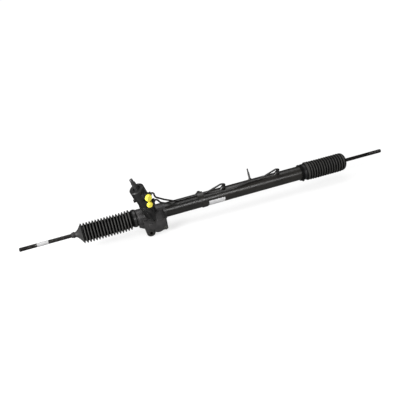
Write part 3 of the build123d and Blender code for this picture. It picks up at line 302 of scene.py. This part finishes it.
# ---- valve tower -------------------------------------------------------------------------
# A die-cast aluminium tower in black paint, screwed down on the housing's ears. Its skin is
# finer and blacker than the iron's, and its screws are steel in black oxide.
painted_alloy = finish("painted_alloy", first=(0.005, 0.005, 0.005), second=(0.012, 0.012, 0.012),
                       patches=50.0, roughness=(0.34, 0.46), grain=900.0, relief=0.00012, specular=0.4,
                       swell=160.0, swell_height=0.0003, edge=0.0015)
dress(painted_alloy, "valve_housing")
black_oxide = finish("black_oxide", first=(0.02, 0.02, 0.021), second=(0.045, 0.044, 0.043),
                     patches=150.0, roughness=(0.32, 0.45), grain=1600.0, relief=0.00004, metal=0.6)
dress(black_oxide, "valve_screws")

# ---- transit caps ------------------------------------------------------------------------
# Two moulded yellow polyethylene caps plug the oil ports. They are thin and waxy, so light
# gets into them, and a faint painted glow keeps them yellow in the shade.
light_share = 0.25
light_depth = (0.004, 0.003, 0.001)
# A painted glow: the caps give a little light of their own, though they are no lamp.
cap_painted_glow = (1.0, 0.8, 0.06, 1)
cap_painted_glow_strength = 0.09
cap_plastic = finish("cap_plastic", first=(0.95, 0.8, 0.065), second=(0.99, 0.88, 0.11), patches=60.0,
                     roughness=(0.38, 0.5), grain=500.0, relief=0.0001)
cap_shader = cap_plastic.node_tree.nodes["Principled BSDF"]
cap_shader.inputs["Subsurface Weight"].default_value = light_share
cap_shader.inputs["Subsurface Radius"].default_value = light_depth
# Painted glow on the caps, so they stay bright yellow in the shade.
cap_shader.inputs["Emission Color"].default_value = cap_painted_glow
cap_shader.inputs["Emission Strength"].default_value = cap_painted_glow_strength
dress(cap_plastic, "port_cap_upper", "port_cap_lower")

# ---- input shaft and the parts inside ----------------------------------------------------
# The shaft is phosphated dark grey. The pinion, valve and bearings are ground bright steel,
# and the seal rings, bushing and ball shells are moulded in off-white plastic.
phosphate = finish("phosphate", first=(0.07, 0.07, 0.072), second=(0.12, 0.12, 0.12), patches=120.0,
                   roughness=(0.36, 0.5), grain=1200.0, relief=0.00005, metal=0.7)
dress(phosphate, "input_shaft")
ground_steel = finish("ground_steel", first=(0.42, 0.42, 0.43), second=(0.5, 0.5, 0.5), patches=60.0,
                      roughness=(0.22, 0.34), grain=1500.0, relief=0.00002, metal=1.0)
dress(ground_steel, "input_bearing", "pinion_bearing_upper", "pinion_bearing_lower", "pinion", "pinion_nut",
      "valve_sleeve", "valve_pin", "torsion_bar", "yoke_spring")
seal_plastic = finish("seal_plastic", first=(0.62, 0.6, 0.55), second=(0.7, 0.68, 0.64), patches=90.0,
                      roughness=(0.4, 0.5), grain=700.0, relief=0.00004)
dress(seal_plastic, "sleeve_rings", "piston_ring", "end_bushing", "ball_shell_left", "ball_shell_right")

# ---- rack bar and piston -----------------------------------------------------------------
# An induction-hardened bar, ground along its length and oiled, with the piston crimped on it.
# The bulkhead, the lock washers and the ball sockets have the same oiled finish.
oiled_steel = finish("oiled_steel", first=(0.34, 0.34, 0.35), second=(0.42, 0.42, 0.42), patches=30.0,
                     roughness=(0.18, 0.28), grain=1800.0, relief=0.00002, metal=1.0)
dress(oiled_steel, "rack_bar", "piston", "inner_bulkhead", "lock_washer_left", "lock_washer_right",
      "inner_socket_left", "inner_socket_right")

# ---- cylinder tube -----------------------------------------------------------------------
# A drawn steel tube in glossy black paint, pressed into the housing. The paint runs in long
# waves that break up its shine. Towards the housing, where the pipes shade it, shade is painted into its
# colour.
# Where shade is painted into the tube's colour: full from the housing end, fading out near the clip.
tube_painted_shade_end = -0.4
tube_painted_shade_fade_end = -0.35
tube_painted_shade_level = 0.4
tube_paint = finish("tube_paint", first=(0.008, 0.0072, 0.0063), second=(0.017, 0.0152, 0.0132),
                    patches=25.0, roughness=(0.27, 0.4), grain=450.0, relief=0.00006,
                    swell=45.0, swell_height=0.0003)
tree = tube_paint.node_tree
along = tree.nodes.new("ShaderNodeSeparateXYZ")
tree.links.new(tree.nodes["Texture Coordinate"].outputs["Object"], along.inputs["Vector"])
# Painted shade: the tube's colour is dimmed from the housing end to about the clip.
paint_shade_into(tube_paint, along.outputs["X"], tube_painted_shade_end, tube_painted_shade_fade_end, tube_painted_shade_level)
dress(tube_paint, "rack_tube", "boot_seat_ring", "cylinder_port_left", "cylinder_port_right", "pipe_clip")

# ---- pressure pipes ----------------------------------------------------------------------
# Two steel pipes, 6.4 mm over their black polyamide coat, run from the tower to the cylinder's
# ports. Flare nuts hold their ends. Nuts, clip bolt and line stud are steel in black oxide.
pipe_coat = finish("pipe_coat", first=(0.013, 0.013, 0.013), second=(0.024, 0.023, 0.022), patches=70.0,
                   roughness=(0.3, 0.4), grain=800.0, relief=0.00005)
dress(pipe_coat, "pressure_pipe_left", "pressure_pipe_right")
dress(black_oxide, "tube_pipe_nuts", "valve_pipe_nuts", "clip_bolt", "line_stud")

# ---- yoke --------------------------------------------------------------------------------
# The sliding yoke that presses on the rack's back, and the plug behind its spring, are bare
# aluminium. The plug's locknut is steel in black oxide.
bare_alloy = finish("bare_alloy", first=(0.38, 0.38, 0.39), second=(0.5, 0.5, 0.51), patches=70.0,
                    roughness=(0.35, 0.5), grain=900.0, relief=0.00006, metal=1.0)
dress(bare_alloy, "yoke", "yoke_plug")
dress(black_oxide, "yoke_locknut")

# ---- bellows boots -----------------------------------------------------------------------
# Moulded rubber bellows with thin, sharp ribs and round valleys. The left boot stands open and
# ends in a cone and a small collar. The right one is pushed short, and its end rolls inwards.
around = 128
rib_steps = 12
hang_run = 0.045
spun_crease = 35
boot_rubber = finish("boot_rubber", first=(0.018, 0.018, 0.0175), second=(0.03, 0.029, 0.028), patches=35.0,
                     roughness=(0.5, 0.62), grain=500.0, relief=0.00008, swell=90.0, swell_height=0.0002)


def valley_shaded_rubber(name, crest_colour, bottom, top, sag):
    """Rubber with shade painted black into it at the bottom radius, in the valleys, and grey at the top
    one, on an axis that sags.
    """
    made = finish(name, first=(0.001, 0.001, 0.001), second=crest_colour, patches=35.0,
                  roughness=(0.55, 0.68), grain=500.0, relief=0.00008, specular=0.15)
    tree = made.node_tree
    from_axis = distance(tree, (0, 1, 1), (0, 0, sag))
    tree.links.new(ramped(tree, from_axis, bottom, top, 0.0, 1.0), tree.nodes["Color Ramp"].inputs["Fac"])
    return made


def skin(name, rings, crease, closed=False):
    """A mesh that joins each ring of points to the next, with the edges past the crease angle sharp."""
    shape = bmesh.new()
    rows = [[shape.verts.new(point) for point in ring] for ring in rings]
    for row, following in zip(rows, rows[1:]):
        for i in range(len(row)):
            j = (i + 1) % len(row)
            shape.faces.new((row[i], following[i], following[j], row[j]))
    if closed:
        shape.faces.new(rows[0])
        shape.faces.new(rows[-1][::-1])
    bmesh.ops.recalc_face_normals(shape, faces=shape.faces)
    mesh = bpy.data.meshes.new(name)
    shape.to_mesh(mesh)
    shape.free()
    for face in mesh.polygons:
        face.use_smooth = True
    mesh.set_sharp_from_angle(angle=radians(crease))
    made = bpy.data.objects.new(name, mesh)
    bpy.context.scene.collection.objects.link(made)
    return made


def hang(x, start, end, depth):
    """How far loose rubber hangs at x: nothing at its two ends and the full depth between them."""
    if (x - start) * (x - end) >= 0:
        return 0.0
    from_start = min(1.0, abs(x - start) / hang_run)
    from_end = min(1.0, abs(x - end) / hang_run)
    return depth * sin(pi / 2 * from_start) * sin(pi / 2 * from_end)


def spun(name, outline, hung=None):
    """A skin spun about the rack's axis from (x, radius) points. hung: where a boot hangs, and how deep."""
    turns = [2 * pi * i / around for i in range(around)]
    rings = []
    for x, radius in outline:
        drop = hang(x, *hung) if hung else 0.0
        rings.append([(x, radius * sin(turn), radius * cos(turn) - drop) for turn in turns])
    return skin(name, rings, spun_crease)


def ribs(first_crest, pitch, count, crest, valley, sharpness):
    """(x, radius) points from the valley before the first rib to the valley after the last."""
    points = []
    for i in range(count * rib_steps + 1):
        phase = i / rib_steps
        height = (0.5 - 0.5 * cos(2 * pi * phase)) ** sharpness
        points.append((first_crest + (phase - 0.5) * pitch, valley + (crest - valley) * height))
    return points


left_crest = 0.0368
left_valley = 0.0274
left_pitch = 0.0105
left_first_valley = -0.77925
left_rib_count = 16
left_sharpness = 0.72
left_seam_rib = 3
left_collar = 0.0096
left_rim = -0.7845
left_waist = 0.0292
left_cuff = 0.031
left_cuff_end = -0.591
left_sag = 0.0036
left_hung = (-0.6105, -0.81, left_sag)
left_end = [(-0.8215, 0.0069), (-0.822, 0.0085), (-0.8215, 0.0094), (-0.8205, left_collar),
            (-0.8085, left_collar), (-0.8065, 0.0099), (-0.8045, 0.0109), (-0.8, 0.0152), (-0.7963, 0.0188),
            (-0.7895, 0.0288), (-0.7865, 0.0334), (-0.7855, 0.0352), (left_rim, left_crest),
            (-0.7832, 0.0349), (-0.782, 0.0318), (-0.7805, 0.0272)]
left_ribs = ribs(left_first_valley + left_pitch / 2, left_pitch, left_rib_count, left_crest, left_valley,
                 left_sharpness)
left_neck = [(-0.6095, 0.0282), (-0.6085, left_waist), (-0.607, left_waist), (-0.6062, left_cuff),
             (-0.5925, left_cuff), (-0.5914, 0.0307), (left_cuff_end, 0.0302), (left_cuff_end, 0.0287)]
left_seam_step = left_seam_rib * rib_steps
boot_left_rod_end = spun("boot_left_rod_end", left_end + left_ribs[:1], left_hung)
boot_left_ball = spun("boot_left_ball", left_ribs[:left_seam_step + 1], left_hung)
boot_left_bellows = spun("boot_left_bellows", left_ribs[left_seam_step:] + left_neck, left_hung)
# Painted shade: the left boot's rubber is black in the rib valleys and turns grey towards the crests.
left_valley_shaded_rubber = valley_shaded_rubber("left_rib_rubber_painted_valley_shade", crest_colour=(0.056, 0.055, 0.053), bottom=0.0315, top=left_crest,
                     sag=0.0026)
for piece, rubber in ((boot_left_rod_end, boot_rubber), (boot_left_ball, left_valley_shaded_rubber),
                      (boot_left_bellows, left_valley_shaded_rubber)):
    piece.data.materials.append(rubber)
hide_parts("boot_left")
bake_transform(boot_left_rod_end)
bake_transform(boot_left_ball)
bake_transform(boot_left_bellows)

right_crest = 0.035
right_valley = 0.0296
right_pitch = 0.0104
right_first_crest = 0.0844
right_rib_count = 13
right_sharpness = 0.9
right_rack_rib = 8
right_ball_rib = 12
right_cuff = 0.0294
right_lip = 0.031
right_sag = 0.0014
right_hung = (0.078, 0.233, right_sag)
right_neck = [(0.044, 0.0277), (0.044, 0.0303), (0.0444, 0.0308), (0.045, right_lip), (0.0466, right_lip),
              (0.0474, 0.0306), (0.048, right_cuff), (0.064, right_cuff), (0.066, 0.0302), (0.0695, 0.0334),
              (0.0715, 0.0347), (0.0735, right_crest), (0.0755, 0.0347), (0.0773, 0.0328), (0.0785, 0.0306)]
right_ribs = ribs(right_first_crest, right_pitch, right_rib_count, right_crest, right_valley,
                  right_sharpness)
right_roll = [(0.2156, 0.0305), (0.2172, 0.0332), (0.219, 0.034), (0.2235, 0.0329), (0.2275, 0.0304),
              (0.2305, 0.027), (0.2325, 0.0232), (0.2336, 0.019), (0.234, 0.0155), (0.2335, 0.0122),
              (0.2322, 0.0098), (0.2303, 0.0083), (0.2285, 0.0078), (0.216, 0.0078), (0.2152, 0.0072),
              (0.2152, 0.0069)]
rack_step = right_rack_rib * rib_steps
ball_step = right_ball_rib * rib_steps
boot_right_bellows = spun("boot_right_bellows", right_neck + right_ribs[:rack_step + 1], right_hung)
boot_right_ball = spun("boot_right_ball", right_ribs[rack_step:ball_step + 1], right_hung)
boot_right_rod_end = spun("boot_right_rod_end", right_ribs[ball_step:] + right_roll, right_hung)
# Painted shade: the right boot's rubber is black in the rib valleys and turns grey towards the crests.
right_valley_shaded_rubber = valley_shaded_rubber("right_rib_rubber_painted_valley_shade", crest_colour=(0.04, 0.039, 0.037), bottom=0.031, top=0.0352,
                      sag=0.001)
for piece in (boot_right_bellows, boot_right_ball, boot_right_rod_end):
    piece.data.materials.append(right_valley_shaded_rubber)
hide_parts("boot_right")
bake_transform(boot_right_bellows)
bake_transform(boot_right_ball)
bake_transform(boot_right_rod_end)

# ---- boot clamps and spring clips --------------------------------------------------------
# Black steel bands hold the cuffs, each pulled tight by a screw through its two ears. Wire
# clips hold the small collars on the rods.
dress(black_oxide, "boot_clamp_left", "boot_clamp_right", "boot_clip_left", "boot_clip_right")
shank = 0.0016
head = 0.0029
nut = 0.0031
screw_middle = 0.0001
screw_outline = [(-0.0062, screw_middle), (-0.0062, 0.0024), (-0.0058, head), (-0.0046, head),
                 (-0.0046, shank), (0.0046, shank), (0.0046, nut), (0.0072, nut), (0.0076, 0.0026),
                 (0.0076, screw_middle)]
for end, clamp_x, ear_reach, turn in (("left", -0.599, 0.0366, pi / 2), ("right", 0.0595, 0.035, 0)):
    screw = spun(f"clamp_screw_{end}", screw_outline)
    through_ears = Matrix.Translation((0, 0, -ear_reach)) @ Matrix.Rotation(pi / 2, 4, "Z")
    screw.data.transform(Matrix.Translation((clamp_x, 0, 0)) @ Matrix.Rotation(turn, 4, "X") @ through_ears)
    screw.data.materials.append(black_oxide)
    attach(screw, "housing")

# ---- tie rods ----------------------------------------------------------------------------
# Forged steel rods, phosphated and oiled black, each with its ball. The outer 54 mm carry a
# rolled M14 x 1.5 thread with a chamfered end.
thread_pitch = 0.0015
thread_root = 0.0062
thread_crest = 0.007
thread_length = 0.054
thread_rows = 6
thread_around = 48
thread_crease = 40
ridge_flat = 1.3
last_ridge = 0.25
fading_turns = 2
chamfer_share = 0.86
rod_middle = 0.0001
rod_radius = 0.00675
rod_end = 0.258
neck_radius = 0.0075
groove = 0.0061
ball_size = 0.014
ball_angles = range(0, 149, 4)
rod_black = finish("rod_black", first=(0.012, 0.0112, 0.0104), second=(0.025, 0.0232, 0.0214),
                   patches=90.0, roughness=(0.26, 0.38), grain=900.0, relief=0.00006, metal=0.5)


def threaded(name, outline):
    """A bar along X from (x, radius) points, then a helical thread and a chamfer at the rod's end."""
    thread_run = thread_length - thread_pitch / 2
    rows = [[(x, radius)] * thread_around for x, radius in outline]
    count = round(thread_run / thread_pitch * thread_rows)
    for k in range(count + 1):
        x = rod_end - thread_length + thread_run * k / count
        fade = min(1.0, (count - k) / (fading_turns * thread_rows))
        height = (thread_crest - thread_root) * (last_ridge + (1 - last_ridge) * fade)
        row = []
        for i in range(thread_around):
            phase = (k / thread_rows + i / thread_around) % 1.0
            row.append((x, thread_root + height * min(1.0, ridge_flat * (1 - abs(2 * phase - 1)))))
        rows.append(row)
    for radius in (thread_root * chamfer_share, rod_middle):
        rows.append([(rod_end, radius)] * thread_around)
    turns = [2 * pi * i / thread_around for i in range(thread_around)]
    rings = []
    for row in rows:
        rings.append([(x, radius * sin(turn), radius * cos(turn)) for (x, radius), turn in zip(row, turns)])
    return skin(name, rings, thread_crease)


ball = [(-ball_size * cos(radians(a)), max(rod_middle, ball_size * sin(radians(a)))) for a in ball_angles]
rod_outline = ball + [(0.0135, neck_radius), (0.026, neck_radius), (0.034, rod_radius),
                      (0.0695, rod_radius), (0.0698, groove), (0.0742, groove), (0.0745, rod_radius),
                      (0.2035, rod_radius)]
for end, ball_x, turn in (("left", -0.742, pi), ("right", 0.138, 0)):
    rod = threaded(f"threaded_rod_{end}", rod_outline)
    rod.data.transform(Matrix.Translation((ball_x, 0, 0)) @ Matrix.Rotation(turn, 4, "Z"))
    rod.data.materials.append(rod_black)
    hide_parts(f"tie_rod_{end}")
    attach(rod, f"tie_rod_{end}")

# ---- film labels -------------------------------------------------------------------------
# Blank film labels, a white one glued on the tube's lower front and a greyer one wrapped round
# the left rod. The angles of the white one are degrees down from the tube's top.
label_start = -0.326
label_end = -0.265
label_inner = 0.0265
label_outer = 0.0268
label_angles = range(85, 146, 3)
label_section = [(label_start, label_inner), (label_start, label_outer),
                 (label_end, label_outer), (label_end, label_inner)]
label_rings = []
for angle in label_angles:
    forward = sin(radians(angle))
    up = cos(radians(angle))
    label_rings.append([(x, -radius * forward, radius * up) for x, radius in label_section])
label_film = finish("label_film", first=(0.68, 0.68, 0.69), second=(0.73, 0.73, 0.73), patches=40.0,
                    roughness=(0.3, 0.42), grain=600.0, relief=0.00002)
label_sheet = skin("tube_label_sheet", label_rings, crease=0, closed=True)
label_sheet.data.materials.append(label_film)
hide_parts("tube_label")
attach(label_sheet, "housing")
rod_film = finish("rod_film", first=(0.38, 0.38, 0.385), second=(0.46, 0.46, 0.46), patches=120.0,
                  roughness=(0.35, 0.5), grain=600.0, relief=0.00002, specular=0.2)
dress(rod_film, "rod_label")
